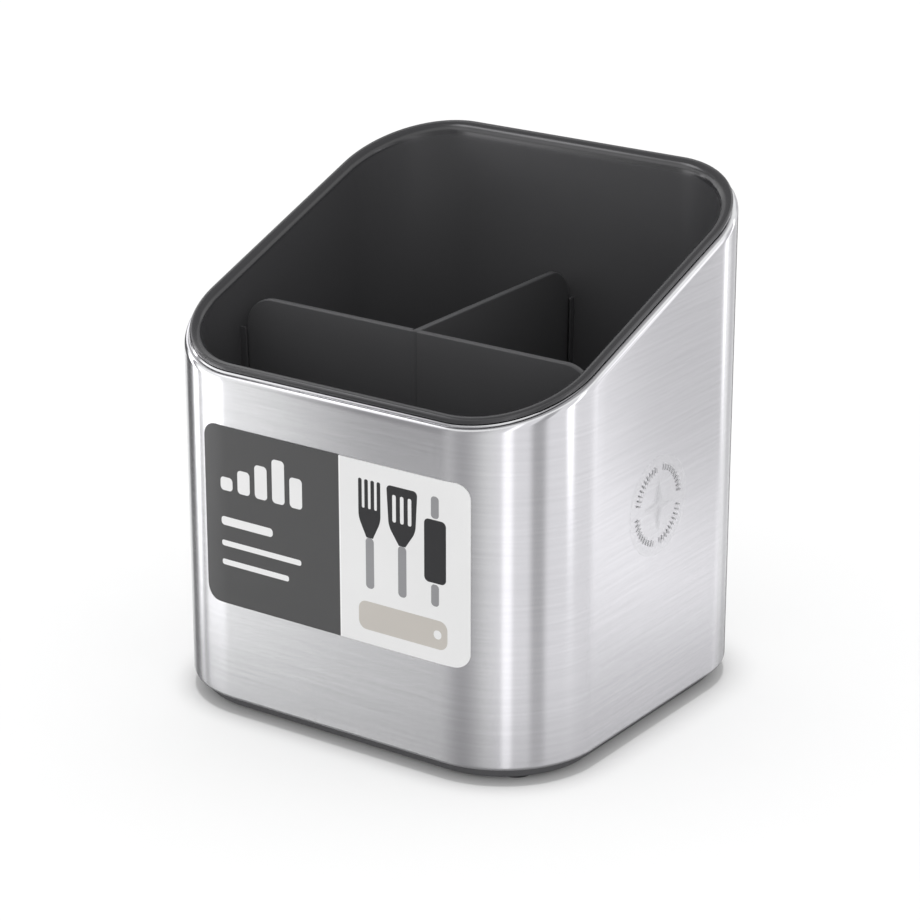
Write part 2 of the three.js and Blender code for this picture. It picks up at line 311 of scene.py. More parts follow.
def makeBrushedSteel():
    material, tree, shader = newMaterial("brushedSteel")
    coords = objectCoords(tree)
    stretched = addNode(tree, "ShaderNodeMapping", {"Vector": coords, "Scale": steelLook["lineScale"]})
    lines = addNode(tree, "ShaderNodeTexNoise", {"Vector": stretched.outputs["Vector"], "Scale": 1.0,
                                                 "Detail": 4.0, "Roughness": 0.7}).outputs["Fac"]
    spread = addNode(tree, "ShaderNodeMapRange", {"Value": lines, "From Min": 0.3, "From Max": 0.7})
    tone = mixColors(tree, spread.outputs["Result"], (*steelLook["dark"], 1), (*steelLook["pale"], 1))
    lip = addNode(tree, "ShaderNodeGroup", {"Start": steelLook["lipStart"], "End": steelLook["lipEnd"]},
                  node_tree=rimDepth)
    polish = rangeTo(tree, lip.outputs["Mask"], steelLook["lipRoughness"], steelLook["roughness"])
    sheen = addNode(tree, "ShaderNodeGroup", {"Base": polish, "Spread": steelLook["spread"],
                                              "Mark size": steelLook["markSize"]}, node_tree=sheenMarks)
    bump = addNode(tree, "ShaderNodeBump", {"Strength": steelLook["bump"], "Height": lines,
                                            "Distance": steelLook["bumpDepth"] * mm})
    around = addNode(tree, "ShaderNodeTangent", direction_type='RADIAL', axis='Z')
    setInputs(tree, shader, {
        "Base Color": tone,
        "Roughness": sheen.outputs["Roughness"],
        "Normal": bump.outputs["Normal"],
        "Tangent": around.outputs["Tangent"],
        "Metallic": 1.0,
        "Anisotropic": steelLook["anisotropic"],
        "Anisotropic Rotation": 0.25,
    })
    return material


brushedSteel = makeBrushedSteel()
# the bucket's rim colour is painted shade, darker than its walls' colour of the same plastic
linerPlastic = makePlastic("linerPlastic", {
    "color": (0.066, 0.066, 0.069), "roughness": 0.36, "spread": 0.05, "grainSize": 0.35, "bump": 0.10,
    "specular": 0.35, "paintedRimShade": (0.035, 0.035, 0.037), "rimRoughness": 0.18, "rimCoat": 0.7,
})
dividerPlastic = makePlastic("dividerPlastic", {
    "color": (0.076, 0.076, 0.079), "roughness": 0.38, "spread": 0.05, "grainSize": 0.35, "bump": 0.10,
    "specular": 0.5,
})
basePlastic = makePlastic("basePlastic", {
    "color": (0.110, 0.110, 0.115), "roughness": 0.55, "spread": 0.06, "grainSize": 0.4, "bump": 0.15,
    "specular": 0.4,
})
footRubber = makePlastic("footRubber", {
    "color": (0.030, 0.030, 0.031), "roughness": 0.75, "spread": 0.05, "grainSize": 0.5, "bump": 0.2,
    "specular": 0.3,
})
print("materials: steel and plastics made")


# Steel sleeve: up the outer face, over the rolled edge, down the inside and out along the lower lip
sleeveSizes = {
    "sheet": 0.6,
    "topBend": 1.4,
    "topFlange": 0.8,
    "lipEdge": 0.25,
    "lipSteps": 4,
    "topSteps": 24,
    "foldStart": 0.6,      # insets of the fold's line along the front, and its depth
    "foldMiddle": 1.45,
    "foldEnd": 1.7,
    "foldDepth": 0.48,
    "bottomBend": 1.1,
    "bottomFlange": 3.3,
    "bendSteps": 8,
    "rows": 12,
}


def foldedAt(lift):   # on the rolled edge, which is folded along the front
    slant = slantAt(lift)
    start = sleeveSizes["foldStart"] * mm
    middle = sleeveSizes["foldMiddle"] * mm
    end = sleeveSizes["foldEnd"] * mm
    depth = sleeveSizes["foldDepth"] * mm

    def heightAt(outerY, outY, inset):
        share = min((inset - start) / (middle - start), (end - inset) / (end - middle))
        dip = depth * max(0.0, share)
        return slant(outerY, outY, inset) - max(0.0, -outY) * dip

    return heightAt


def makeSleeve():
    sizes = {key: value * mm for key, value in sleeveSizes.items()}
    steps = sleeveSizes["bendSteps"]
    rows = sleeveSizes["rows"]
    sheet = sizes["sheet"]
    topRoll = sizes["topBend"] + sheet
    bottomRoll = sizes["bottomBend"] + sheet
    topLip = topRoll + sizes["topFlange"]
    bottomLip = bottomRoll + sizes["bottomFlange"]
    rollTop = sleeveBottom + bottomRoll
    lowerRoll = quarterTurn(steps, lambda s, c: (
        bottomRoll * (1 - s), levelAt(sleeveBottom + bottomRoll * (1 - c))))
    upperRoll = quarterTurn(sleeveSizes["topSteps"], lambda s, c: (
        topRoll * (1 - c), foldedAt(topRoll * (s - 1))))
    lipEdge = quarterTurn(sleeveSizes["lipSteps"], lambda s, c: (
        topLip - sizes["lipEdge"] * (1 - s), slantAt(-sizes["lipEdge"] * (1 - c))))
    upperInside = quarterTurn(steps, lambda s, c: (
        topRoll - sizes["topBend"] * s, slantAt(sizes["topBend"] * c - topRoll)))
    lowerInside = quarterTurn(steps, lambda s, c: (
        bottomRoll - sizes["bottomBend"] * c, levelAt(rollTop - sizes["bottomBend"] * s)))
    bm = bmesh.new()
    lipEdges = firstRing(bm, bottomLip, levelAt(sleeveBottom))
    bmesh.ops.delete(bm, geom=bm.faces[:], context='FACES_ONLY')
    lastEdges = growWall(bm, lipEdges, [
        *lowerRoll,
        *wallRows(rows, lowerRoll[-1], upperRoll[0]),
        *upperRoll,
        *lipEdge,
        (topLip, slantAt(-sheet)),
        *upperInside,
        *wallRows(rows, upperInside[-1], lowerInside[0]),
        *lowerInside,
        (bottomLip, levelAt(sleeveBottom + sheet)),
    ])
    bmesh.ops.bridge_loops(bm, edges=lipEdges + lastEdges)
    return makePiece("sleeve", bm, brushedSteel, "shell", "brushed_steel", "outer_sleeve")


sleeve = makeSleeve()
print("sleeve:", len(sleeve.data.polygons), "faces")


# Lift-out bucket with its rim over the sleeve's lip, and the guide ribs for the dividers
bucketSizes = {
    "outerTop": 3.05,      # outer wall's inset from the sleeve's outer face, under the rim
    "wall": 2.2,
    "draft": 2.2,
    "fillet": 6.0,
    "rimInset": 1.5,
    "rimSeat": 0.3,        # rim's underside above the sleeve's lip
    "rimTop": 1.85,        # rim's top above the sleeve's lip
    "rimOuterEdge": 0.8,
    "rimLowerEdge": 0.4,
    "rimFillet": 2.5,
    "edgeSteps": 8,
    "rows": 12,
}
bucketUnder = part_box("inner_bucket")[0].z
bucketFloor = bucketUnder + bucketSizes["wall"] * mm
wallFoot = bucketFloor + bucketSizes["fillet"] * mm
innerTop = (bucketSizes["outerTop"] + bucketSizes["wall"]) * mm
innerBottom = innerTop + bucketSizes["draft"] * mm


def makeBucket():
    sizes = {key: value * mm for key, value in bucketSizes.items()}
    steps = bucketSizes["edgeSteps"]
    rows = bucketSizes["rows"]
    outerBottom = sizes["outerTop"] + sizes["draft"]
    outerFillet = sizes["fillet"] + sizes["wall"]
    underEdge = quarterTurn(steps, lambda s, c: (
        outerBottom + outerFillet * (1 - s), levelAt(bucketUnder + outerFillet * (1 - c))))
    rimLower = quarterTurn(steps, lambda s, c: (
        sizes["rimInset"] + sizes["rimLowerEdge"] * (1 - s),
        slantAt(sizes["rimSeat"] + sizes["rimLowerEdge"] * (1 - c))))
    rimOuter = quarterTurn(steps, lambda s, c: (
        sizes["rimInset"] + sizes["rimOuterEdge"] * (1 - c),
        slantAt(sizes["rimTop"] - sizes["rimOuterEdge"] * (1 - s))))
    rimInner = quarterTurn(steps, lambda s, c: (
        innerTop - sizes["rimFillet"] * (1 - s), slantAt(sizes["rimTop"] - sizes["rimFillet"] * (1 - c))))
    floorEdge = quarterTurn(steps, lambda s, c: (
        innerBottom + sizes["fillet"] * (1 - c), levelAt(wallFoot - sizes["fillet"] * s)))
    underRim = (sizes["outerTop"], slantAt(sizes["rimSeat"]))
    bm = bmesh.new()
    edges = firstRing(bm, *underEdge[0])
    edges = growWall(bm, edges, [
        *underEdge[1:],
        *wallRows(rows, underEdge[-1], underRim),
        underRim,
        *rimLower,
        *rimOuter,
        *rimInner,
        *wallRows(rows, rimInner[-1], floorEdge[0]),
        *floorEdge,
    ])
    bmesh.ops.edgeloop_fill(bm, edges=edges)
    return makePiece("bucket", bm, linerPlastic, "bucket", "liner_plastic", "inner_bucket")


bucket = makeBucket()
print("bucket:", len(bucket.data.polygons), "faces")


# Flat-sided pieces: an outline in the X-Z plane from corners (x, z, rounding) in mm, then a slab of it
def addOutline(bm, corners, centre=(0, 0), steps=8):
    verts = [bm.verts.new(((centre[0] + x) * mm, 0, (centre[1] + z) * mm)) for x, z, rounding in corners]
    bm.faces.new(verts)
    for vert, (x, z, rounding) in zip(verts, corners):
        if rounding:
            bmesh.ops.bevel(bm, geom=[vert], offset=rounding * mm, segments=steps, profile=0.5,
                            affect='VERTICES', material=-1)


def addRectangle(bm, left, low, right, high, rounding, centre=(0, 0)):
    corners = [(left, low, rounding), (right, low, rounding), (right, high, rounding), (left, high, rounding)]
    addOutline(bm, corners, centre)


def makeSlab(bm, faces, place, low, high):   # place(point, lift) puts a point of the outline where it belongs
    lowVerts = {vert for face in faces for vert in face.verts}
    for vert in vertsOf(bmesh.ops.extrude_face_region(bm, geom=faces)["geom"]):
        vert.co = place(vert.co, high * mm)
    for vert in lowVerts:
        vert.co = place(vert.co, low * mm)


def cutPlane(bm, place, across):   # splits all that a plane crosses
    bmesh.ops.bisect_plane(bm, geom=bm.verts[:] + bm.edges[:] + bm.faces[:], dist=hair / 10,
                           plane_co=place, plane_no=across)


sharpFrom = math.radians(40)   # edges folded by more than this are rounded


def roundEdges(bm, size, steps=3, keepSharp=lambda edge: False):
    sharp = [edge for edge in bm.edges if edge.calc_face_angle(0) > sharpFrom and not keepSharp(edge)]
    bmesh.ops.bevel(bm, geom=sharp, offset=size * mm, segments=steps, profile=0.5,
                    affect='EDGES', clamp_overlap=True, material=-1)


def evenShading(piece):   # keeps broad flat faces flat beside their rounded edges
    shading = piece.modifiers.new("evenShading", 'WEIGHTED_NORMAL')
    shading.keep_sharp = True


# Two dividers, and the ribs on the bucket's walls that guide them
dividerSizes = {
    "setback": 40.5,       # from the front face to the middle of the cross divider
    "thickness": 2.0,
    "drop": 5.5,           # from the sleeve's lip down to the dividers' top edges
    "topCorner": 10.0,
    "lowCorner": 6.0,
    "cornerSteps": 12,
    "floorGap": 0.3,
    "sideGap": 1.5,
    "backGap": 1.0,
    "slotGap": 0.02,
    "slotDepth": 52.0,
    # places across the tongue, and how far its front lies back there
    "tongueSetback": ((-1.0, 0.0), (-0.5, 0.04), (0.0, 0.15), (0.4, 0.3), (0.8, 0.42), (1.0, 0.45)),
    "edgeRound": 0.5,
    "edgeSteps": 4,
    "margin": 0.01,        # for picking out points
    "ribDrop": 9.8,        # from the dividers' top edges down to the tops of the ribs
    "ribGap": 0.3,
    "ribThickness": 0.9,
    "ribReach": 2.0,
    "ribCorner": 0.5,
    "ribRound": 0.1,
}
dividerY = dividerSizes["setback"] - halfDepth / mm
dividerTop = lipHeight(dividerY * mm) / mm - dividerSizes["drop"]
dividerBottom = bucketFloor / mm + dividerSizes["floorGap"]
slotBottom = dividerTop - dividerSizes["slotDepth"]
slotHalf = dividerSizes["thickness"] / 2 + dividerSizes["slotGap"]
rimHeight = bucketSizes["rimTop"] - bucketSizes["rimFillet"]
sideWallTop = lipHeight(dividerY * mm) / mm + rimHeight
backWallTop = lipHeight(halfDepth) / mm - innerTop / mm * potShape["edgeLean"] * slope + rimHeight


def wallInset(z, wallTop):   # inset of the bucket's inner wall at a height, in mm
    share = (z - wallFoot / mm) / (wallTop - wallFoot / mm)
    return (innerBottom + (innerTop - innerBottom) * share) / mm


def panelReach(outerFace, z, wallTop, gap):
    return outerFace / mm - wallInset(z, wallTop) - dividerSizes[gap]


def cutSlot(bm):   # from the top of the cross divider, for the rear divider's tongue
    side = slotHalf * mm
    low = slotBottom * mm
    cutPlane(bm, (-side, 0, 0), (1, 0, 0))
    cutPlane(bm, (side, 0, 0), (1, 0, 0))
    cutPlane(bm, (0, 0, low), (0, 0, 1))
    middles = [(face, face.calc_center_median()) for face in bm.faces]
    inside = [face for face, middle in middles if abs(middle.x) < side and middle.z > low]
    bmesh.ops.delete(bm, geom=inside, context='FACES')
    rims = [edge for edge in bm.edges if edge.is_boundary]
    corners = {vert for edge in rims for vert in edge.verts if abs(vert.co.z - low) < hair}
    for x in (-side, side):
        bm.edges.new([vert for vert in corners if abs(vert.co.x - x) < hair])
    bmesh.ops.edgenet_fill(bm, edges=[edge for edge in bm.edges if len(edge.link_faces) < 2])


def makeCrossDivider():
    low = panelReach(halfWidth, dividerBottom, sideWallTop, "sideGap")
    high = panelReach(halfWidth, dividerTop, sideWallTop, "sideGap")
    half = dividerSizes["thickness"] / 2
    bm = bmesh.new()
    addOutline(bm, [
        (-low, dividerBottom, dividerSizes["lowCorner"]),
        (low, dividerBottom, dividerSizes["lowCorner"]),
        (high, dividerTop, dividerSizes["topCorner"]),
        (-high, dividerTop, dividerSizes["topCorner"]),
    ], steps=dividerSizes["cornerSteps"])
    makeSlab(bm, bm.faces[:], lambda p, lift: (p.x, dividerY * mm + lift, p.z), -half, half)
    roundEdges(bm, dividerSizes["edgeRound"], dividerSizes["edgeSteps"])
    cutSlot(bm)
    panel = makePiece("crossDivider", bm, dividerPlastic, "cross_panel", "divider_plastic", "cross_divider")
    evenShading(panel)


def setTongueBack(bm, front):   # the tongue's front lies deeper in the slot towards its right side
    setback = dividerSizes["tongueSetback"]
    roundedZone = front + (dividerSizes["edgeRound"] + dividerSizes["margin"]) * mm
    for x, depth in setback[1:-1]:
        cutPlane(bm, (x * mm, 0, 0), (1, 0, 0))
    for vert in bm.verts:
        if vert.co.y < roundedZone:
            vert.co.y += min((abs(vert.co.x - x * mm), depth) for x, depth in setback)[1] * mm


def makeRearDivider():
    low = panelReach(halfDepth, dividerBottom, backWallTop, "backGap")
    high = panelReach(halfDepth, dividerTop, backWallTop, "backGap")
    half = dividerSizes["thickness"] / 2
    front = dividerY + half + dividerSizes["slotGap"]
    tongueFront = dividerY - half
    tongueBottom = slotBottom + dividerSizes["slotGap"]
    margin = dividerSizes["margin"]
    bm = bmesh.new()
    addOutline(bm, [
        (front, dividerBottom, 0),
        (low, dividerBottom, dividerSizes["lowCorner"]),
        (high, dividerTop, dividerSizes["topCorner"]),
        (tongueFront, dividerTop, 0),
        (tongueFront, tongueBottom, 0),
        (front, tongueBottom, 0),
    ], steps=dividerSizes["cornerSteps"])
    makeSlab(bm, bm.faces[:], lambda p, lift: (lift, p.x, p.z), -half, half)
    cutPlane(bm, (0, front * mm, 0), (0, 1, 0))

    def insideSlot(edge):   # all the tongue's edges but the one at the top of its front
        inside = all(vert.co.y < (front + margin) * mm for vert in edge.verts)
        topFront = all(vert.co.y < (tongueFront + margin) * mm and vert.co.z > (dividerTop - margin) * mm
                       for vert in edge.verts)
        return inside and not topFront

    roundEdges(bm, dividerSizes["edgeRound"], dividerSizes["edgeSteps"], keepSharp=insideSlot)
    setTongueBack(bm, tongueFront * mm)
    panel = makePiece("rearDivider", bm, dividerPlastic, "rear_panel", "divider_plastic", "rear_divider")
    evenShading(panel)


def addRib(bm, outerFace, wallTop, place):
    ribTop = dividerTop - dividerSizes["ribDrop"]
    reach = dividerSizes["ribReach"]
    half = dividerSizes["ribThickness"] / 2
    foot = outerFace / mm - wallInset(wallFoot / mm, wallTop)
    head = outerFace / mm - wallInset(ribTop, wallTop)
    before = set(bm.faces)
    addOutline(bm, [
        (foot - reach, wallFoot / mm, 0),
        (foot + bucketSizes["wall"] / 2, wallFoot / mm, 0),
        (head + bucketSizes["wall"] / 2, ribTop, 0),
        (head - reach, ribTop, dividerSizes["ribCorner"]),
    ])
    makeSlab(bm, [face for face in bm.faces if face not in before], place, -half, half)


def makeGuideRibs():
    offset = (dividerSizes["thickness"] / 2 + dividerSizes["ribGap"] + dividerSizes["ribThickness"] / 2) * mm
    crossY = dividerY * mm
    bm = bmesh.new()
    for side in (-offset, offset):
        addRib(bm, halfWidth, sideWallTop, lambda p, lift: (p.x, crossY + side + lift, p.z))
        addRib(bm, halfWidth, sideWallTop, lambda p, lift: (-p.x, crossY + side + lift, p.z))
        addRib(bm, halfDepth, backWallTop, lambda p, lift: (side + lift, p.x, p.z))
    roundEdges(bm, dividerSizes["ribRound"])
    ribs = makePiece("guideRibs", bm, linerPlastic, "bucket", "liner_plastic")
    evenShading(ribs)


makeCrossDivider()
makeRearDivider()
makeGuideRibs()
print("dividers: two panels and six guide ribs")


# Base: plinth under the sleeve, neck and clips inside it, seats for the feet underneath
baseSizes = {
    "plinthInset": 3.64,
    "plinthEdge": 0.6,
    "shoulderGap": 0.3,
    "neckInset": 5.3,
    "clipReach": 0.9,
    "clipHeight": 1.2,
    "clipLength": 14.0,
    "clipMargin": 6.75,    # from the end of a flat side to the clip's end
    "clipLift": 0.9,       # clip's underside above the sleeve's lower edge
    "wall": 2.0,
    "floor": 2.0,
    "seatDepth": 1.0,
    "footRadius": 5.0,
    "footEdge": 0.5,
    "footGap": 0.3,
    "edgeSteps": 6,
    "roundSteps": 48,
}
baseLow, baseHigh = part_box("base_tray")
footNodes = {
    "footFrontLeft": "foot_front_left",
    "footFrontRight": "foot_front_right",
    "footRearLeft": "foot_rear_left",
    "footRearRight": "foot_rear_right",
}


def addClip(bm, outerFace, offset, place):
    neck = outerFace / mm - baseSizes["neckInset"]
    root = neck - baseSizes["wall"] / 2
    low = sleeveBottom / mm + baseSizes["clipLift"]
    high = low + baseSizes["clipHeight"]
    half = baseSizes["clipLength"] / 2
    before = set(bm.faces)
    tip = neck + baseSizes["clipReach"]
    addOutline(bm, [(root, low, 0), (tip, low, 0), (neck, high, 0), (root, high, 0)])
    makeSlab(bm, [face for face in bm.faces if face not in before], place, offset - half, offset + half)


def makeBase():
    under = baseLow.z
    shoulder = sleeveBottom - baseSizes["shoulderGap"] * mm
    inset = baseSizes["plinthInset"] * mm
    edge = baseSizes["plinthEdge"] * mm
    neck = baseSizes["neckInset"] * mm
    inside = neck + baseSizes["wall"] * mm
    seatRadius = (baseSizes["footRadius"] + baseSizes["footGap"]) * mm
    lowerEdge = quarterTurn(baseSizes["edgeSteps"], lambda s, c: (
        inset + edge * (1 - s), levelAt(under + edge * (1 - c))))
    bm = bmesh.new()
    underEdges = firstRing(bm, *lowerEdge[0])
    bmesh.ops.delete(bm, geom=bm.faces[:], context='FACES_ONLY')
    lastEdges = growWall(bm, underEdges, [
        *lowerEdge[1:],
        (inset, levelAt(shoulder)),
        (neck, levelAt(shoulder)),
        (neck, levelAt(baseHigh.z)),
        (inside, levelAt(baseHigh.z)),
        (inside, levelAt(under + baseSizes["floor"] * mm)),
    ])
    bmesh.ops.edgeloop_fill(bm, edges=lastEdges)
    seatEdges = []
    for node in footNodes.values():
        low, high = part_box(node)
        middle = (low + high) / 2
        circle = bmesh.ops.create_circle(bm, segments=baseSizes["roundSteps"], radius=seatRadius)["verts"]
        bmesh.ops.translate(bm, vec=(middle.x, middle.y, under), verts=circle)
        seatEdges += list({link for vert in circle for link in vert.link_edges})
    bmesh.ops.triangle_fill(bm, edges=underEdges + seatEdges, use_beauty=True)
    grown = bmesh.ops.extrude_edge_only(bm, edges=seatEdges)["geom"]
    bmesh.ops.translate(bm, vec=(0, 0, baseSizes["seatDepth"] * mm), verts=vertsOf(grown))
    bmesh.ops.edgeloop_fill(bm, edges=edgesOf(grown))
    for outerFace, flatEnd, place in (
        (halfWidth, farY, lambda p, lift: (p.x, lift, p.z)),
        (halfWidth, farY, lambda p, lift: (-p.x, lift, p.z)),
        (halfDepth, farX, lambda p, lift: (lift, p.x, p.z)),
        (halfDepth, farX, lambda p, lift: (lift, -p.x, p.z)),
    ):
        offset = flatEnd / mm - baseSizes["clipMargin"] - baseSizes["clipLength"] / 2
        addClip(bm, outerFace, -offset, place)
        addClip(bm, outerFace, offset, place)
    makePiece("base", bm, basePlastic, "shell", "base_plastic", "base_tray", sharpAngle=30)


def makeFoot(name, node):
    low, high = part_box(node)
    middle = (low + high) / 2
    radius = baseSizes["footRadius"] * mm
    bm = bmesh.new()
    path = [(0, low.z), (radius, low.z), (radius, high.z), (0, high.z)]
    verts = [bm.verts.new((x, 0, z)) for x, z in path]
    for start, end in zip(verts, verts[1:]):
        bm.edges.new((start, end))
    bmesh.ops.bevel(bm, geom=[verts[1]], offset=baseSizes["footEdge"] * mm, segments=baseSizes["edgeSteps"],
                    profile=0.5, affect='VERTICES', material=-1)
    bmesh.ops.spin(bm, geom=bm.verts[:] + bm.edges[:], cent=(0, 0, 0), axis=(0, 0, 1), dvec=(0, 0, 0),
                   angle=math.tau, steps=baseSizes["roundSteps"], use_merge=True, use_duplicate=False)
    bmesh.ops.translate(bm, vec=(middle.x, middle.y, 0), verts=bm.verts)
    makePiece(name, bm, footRubber, "shell", "foot_rubber", node)


makeBase()
for footName, footNode in footNodes.items():
    makeFoot(footName, footNode)
print("base: plinth, clips and", len(footNodes), "feet")


# Front label: a thin film that follows the front and the start of both corners
labelSizes = {
    "width": 91.7,
    "height": 53.8,
    "drop": 15.3,          # from the sleeve's lip down to the label's top edge
    "shift": 0.35,
    "corner": 4.5,
    "back": 0.1,           # off the steel
    "face": 0.3,
    "split": 3.05,         # where the dark panel ends
    "columns": 1.2,        # steps round the pot's corners
    "columnsEnd": 10.0,    # the last step's least distance from the pot's side
}
labelHigh = lipFront / mm - labelSizes["drop"]
labelLow = labelHigh - labelSizes["height"]
labelLeft = labelSizes["shift"] - labelSizes["width"] / 2
labelRight = labelSizes["shift"] + labelSizes["width"] / 2


def ontoFront(point, lift):
    over = max(0.0, abs(point.x) - farX)
    reach = farY + math.sqrt((cornerRadius + lift) ** 2 - over ** 2)
    return (point.x, -reach, point.z)


def wrapFront(bm, low, high):
    column = farX
    while column < halfWidth - labelSizes["columnsEnd"] * mm:
        for x in (-column, column):
            cutPlane(bm, (x, 0, 0), (1, 0, 0))
        column += labelSizes["columns"] * mm
    makeSlab(bm, bm.faces[:], ontoFront, low, high)


filmLook = {
    "dark": (0.080, 0.080, 0.081),
    "pale": (0.83, 0.83, 0.83),
    "edge": (0.95, 0.95, 0.95),
    "edgeWidth": 0.45,
    "roughness": 0.42,
    "spread": 0.05,
    "markSize": 25.0,
    "grainSize": 0.25,
    "toneSpread": 0.04,
    "bump": 0.06,
    "bumpDepth": 0.02,
    "specular": 0.3,
}


def makeLabelFilm():   # a dark panel, a light edge and a pale panel from left to right
    material, tree, shader = newMaterial("labelFilm")
    coords = objectCoords(tree)
    across = addNode(tree, "ShaderNodeSeparateXYZ", {"Vector": coords}).outputs["X"]
    split = labelSizes["split"]
    pastSplit = mathNode(tree, 'GREATER_THAN', across, split * mm)
    pastEdge = mathNode(tree, 'GREATER_THAN', across, (split + filmLook["edgeWidth"]) * mm)
    panel = mixColors(tree, pastSplit, (*filmLook["dark"], 1), (*filmLook["edge"], 1))
    paper = mixColors(tree, pastEdge, panel, (*filmLook["pale"], 1))
    addFinish(tree, shader, paper, filmLook["roughness"], filmLook)
    return material


def makeLabel():
    bm = bmesh.new()
    addRectangle(bm, labelLeft, labelLow, labelRight, labelHigh, labelSizes["corner"])
    wrapFront(bm, labelSizes["back"], labelSizes["face"])
    label = makePiece("label", bm, makeLabelFilm(), "shell", "label_film", "front_label")
    evenShading(label)


# Print on the label: plain bars on the dark panel, kitchen tools over a board on the pale one
printLook = {
    "under": 0.28,
    "over": 0.32,
    "openingRise": 0.02,   # the openings lie on the tools and the board
    "pale": (0.86, 0.86, 0.86),
    "dark": (0.030, 0.030, 0.032),
    "grey": (0.30, 0.30, 0.31),
    "warm": (0.56, 0.53, 0.49),
}
inkLook = {"roughness": 0.45, "spread": 0.05, "grainSize": 0.25, "bump": 0.05, "specular": 0.3}
emblemBars = {
    "left": -39.0,
    "low": 69.5,
    "width": 4.4,
    "pitch": 6.2,
    "corner": 1.2,
    "heights": (4.0, 7.0, 10.0, 13.0, 9.0),
}
lineBars = {
    "left": -39.0,
    "corner": 0.4,         # share of a bar's height
    "rows": ((60.2, 18.5, 2.6), (53.4, 28.5, 1.7), (47.6, 24.0, 1.7)),   # middle, length and height
}
toolRow = {
    "forkX": 13.5,
    "turnerX": 24.5,
    "pinX": 35.5,
    "low": 51.5,
    "slots": (-2.6, 0, 2.6),
    "slotHalf": 0.6,
    "slotLow": 21.5,
    "slotHigh": 29.5,
    "slotCorner": 0.55,
}
boardSize = {
    "left": 9.5,
    "low": 39.0,
    "right": 39.5,
    "high": 47.5,
    "corner": 2.6,
    "hole": 1.3,
    "holeCorner": 0.95,    # share of the hole's half width
    "holeInset": 3.2,
}


def makeInk(name, color):
    return makePlastic(name, {**inkLook, "color": color})


def makePrint(name, color, draw, rise=0.0):
    bm = bmesh.new()
    draw(bm)
    wrapFront(bm, printLook["under"] + rise, printLook["over"] + rise)
    makePiece(name, bm, makeInk(name + "Ink", color), "shell", "label_film")


def drawBars(bm):
    low = emblemBars["low"]
    for step, height in enumerate(emblemBars["heights"]):
        left = emblemBars["left"] + step * emblemBars["pitch"]
        addRectangle(bm, left, low, left + emblemBars["width"], low + height, emblemBars["corner"])
    left = lineBars["left"]
    for middle, length, height in lineBars["rows"]:
        corner = height * lineBars["corner"]
        addRectangle(bm, left, middle - height / 2, left + length, middle + height / 2, corner)


def drawTools(bm):
    low = toolRow["low"]
    addOutline(bm, [
        (-1.1, 15, 0), (1.1, 15, 0), (3.75, 20.5, 1.5), (3.75, 32, 0.5), (2.55, 32, 0.5), (2.55, 23.5, 0.4),
        (1.65, 23.5, 0.4), (1.65, 32, 0.5), (0.45, 32, 0.5), (0.45, 23.5, 0.4), (-0.45, 23.5, 0.4),
        (-0.45, 32, 0.5), (-1.65, 32, 0.5), (-1.65, 23.5, 0.4), (-2.55, 23.5, 0.4), (-2.55, 32, 0.5),
        (-3.75, 32, 0.5), (-3.75, 20.5, 1.5),
    ], (toolRow["forkX"], low), steps=4)
    addOutline(bm, [
        (-1.1, 15, 0), (1.1, 15, 0), (4.5, 20, 1.6), (5.2, 32, 1.4), (-5.2, 32, 1.4), (-4.5, 20, 1.6),
    ], (toolRow["turnerX"], low))
    addRectangle(bm, -3.6, 6.8, 3.6, 25.2, 1.5, (toolRow["pinX"], low))


def drawHandles(bm):
    low = toolRow["low"]
    for x in (toolRow["forkX"], toolRow["turnerX"]):
        addRectangle(bm, -1.4, 0, 1.4, 15, 1.2, (x, low))
    addRectangle(bm, -1.3, 0, 1.3, 6.4, 1.1, (toolRow["pinX"], low))
    addRectangle(bm, -1.3, 25.6, 1.3, 32, 1.1, (toolRow["pinX"], low))


def drawBoard(bm):
    sides = [boardSize[key] for key in ("left", "low", "right", "high")]
    addRectangle(bm, *sides, boardSize["corner"])


def drawOpenings(bm):
    half = toolRow["slotHalf"]
    for x in toolRow["slots"]:
        addRectangle(bm, x - half, toolRow["slotLow"], x + half, toolRow["slotHigh"], toolRow["slotCorner"],
                     (toolRow["turnerX"], toolRow["low"]))
    hole = boardSize["hole"]
    middle = (boardSize["low"] + boardSize["high"]) / 2
    addRectangle(bm, -hole, -hole, hole, hole, hole * boardSize["holeCorner"],
                 (boardSize["right"] - boardSize["holeInset"], middle))


makeLabel()
makePrint("labelBars", printLook["pale"], drawBars)
makePrint("labelTools", printLook["dark"], drawTools)
makePrint("labelHandles", printLook["grey"], drawHandles)
makePrint("labelBoard", printLook["warm"], drawBoard)
makePrint("labelOpenings", filmLook["pale"], drawOpenings, printLook["openingRise"])
print("label: film and print")


# Round sticker on the right side: nearly clear film with a broken ring of ticks and a sparkle
stickerSizes = {
    "radius": 14.8,
    "height": 68.3,        # of its middle
    "back": 0.1,
    "face": 0.3,
    "printHalf": 0.02,     # half the print's thickness
    "tickRing": 11.0,
    "tickLength": 1.7,
    "tickWidth": 0.45,
    "tickCorner": 0.6,     # share of a tick's half width
    "tickCount": 48,
    "tickGroup": 12,       # ticks to a quarter of the ring
    "tickGap": 2,          # of which so many are left out
    "sparkle": (7.2, 5.6, 4.0, 2.4),   # points of the nested outlines
    "waist": 0.22,         # share of a point's reach
    "lineWidth": 0.42,
    "roundSteps": 96,
}
stickerLook = {
    "color": (0.95, 0.95, 0.96),
    "alpha": 0.06,
    "roughness": 0.4,
    "spread": 0.05,
    "grainSize": 0.3,
    "bump": 0.05,
    "specular": 0.3,
    "ink": (0.42, 0.42, 0.43),
}


def ontoSide(point, lift):
    return (halfWidth + lift, point.x, stickerSizes["height"] * mm + point.z)


def makeStickerFilm():
    material = makePlastic("stickerFilm", stickerLook)
    material.node_tree.nodes["Principled BSDF"].inputs["Alpha"].default_value = stickerLook["alpha"]
    return material


